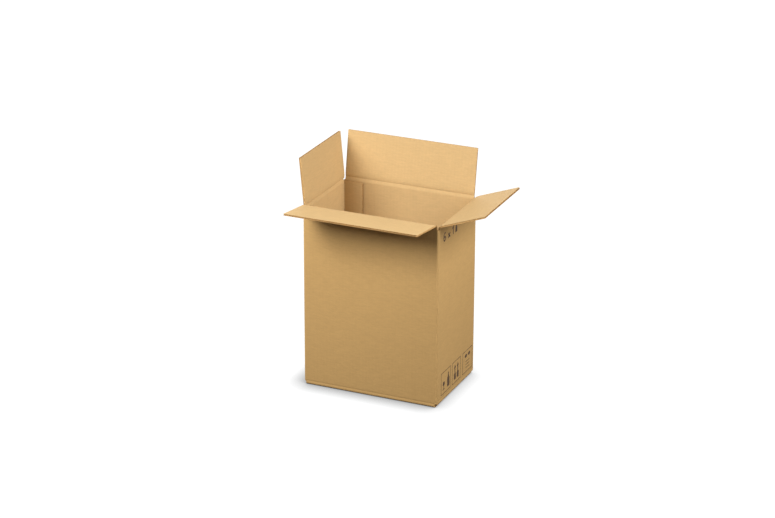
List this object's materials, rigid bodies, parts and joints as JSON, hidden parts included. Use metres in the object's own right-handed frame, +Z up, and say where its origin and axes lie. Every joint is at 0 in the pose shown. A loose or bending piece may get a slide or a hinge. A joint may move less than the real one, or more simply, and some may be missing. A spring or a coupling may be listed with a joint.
{
  "type": "wine shipping box",
  "caption": "Tall open-top carton folded from one sheet of corrugated board, with hinged top flaps, a glued side seam and a glued bottom, for shipping bottles upright.",
  "frame": {"origin": "middle of the base, on the surface that the box stands on", "axes": "+Z up through the open top, X along the long walls with the printed end wall at +X, -Y out of the front long wall"},
  "size_m": [0.3499, 0.2703, 0.4264],
  "materials": {
    "kraft_outside": "plain brown kraft board, matt, printed with a few black shipping marks on one end wall",
    "kraft_inside": "plain kraft board, matt, a little lighter than the outside"
  },
  "bodies": {
    "carton_body": {"carton_body": "kraft_outside"},
    "front_flap": {"front_flap": "kraft_inside"},
    "right_flap": {"right_flap": "kraft_inside"},
    "back_flap": {"back_flap": "kraft_inside"},
    "left_flap": {"left_flap": "kraft_inside"}
  },
  "joints": [
    {"name": "front_flap_fold", "type": "hinge", "parent": "carton_body", "child": "front_flap", "pos_m": [0, -0.086, 0.341], "axis": [1, 0, 0], "range_deg": [-173, 92]},
    {"name": "right_flap_fold", "type": "hinge", "parent": "carton_body", "child": "right_flap", "pos_m": [0.129, 0, 0.3377], "axis": [0, 1, 0], "range_deg": [-160, 105]},
    {"name": "back_flap_fold", "type": "hinge", "parent": "carton_body", "child": "back_flap", "pos_m": [0, 0.086, 0.341], "axis": [-1, 0, 0], "range_deg": [-99, 166]},
    {"name": "left_flap_fold", "type": "hinge", "parent": "carton_body", "child": "left_flap", "pos_m": [-0.129, 0, 0.3377], "axis": [0, -1, 0], "range_deg": [-95.5, 169.5]}
  ]
}
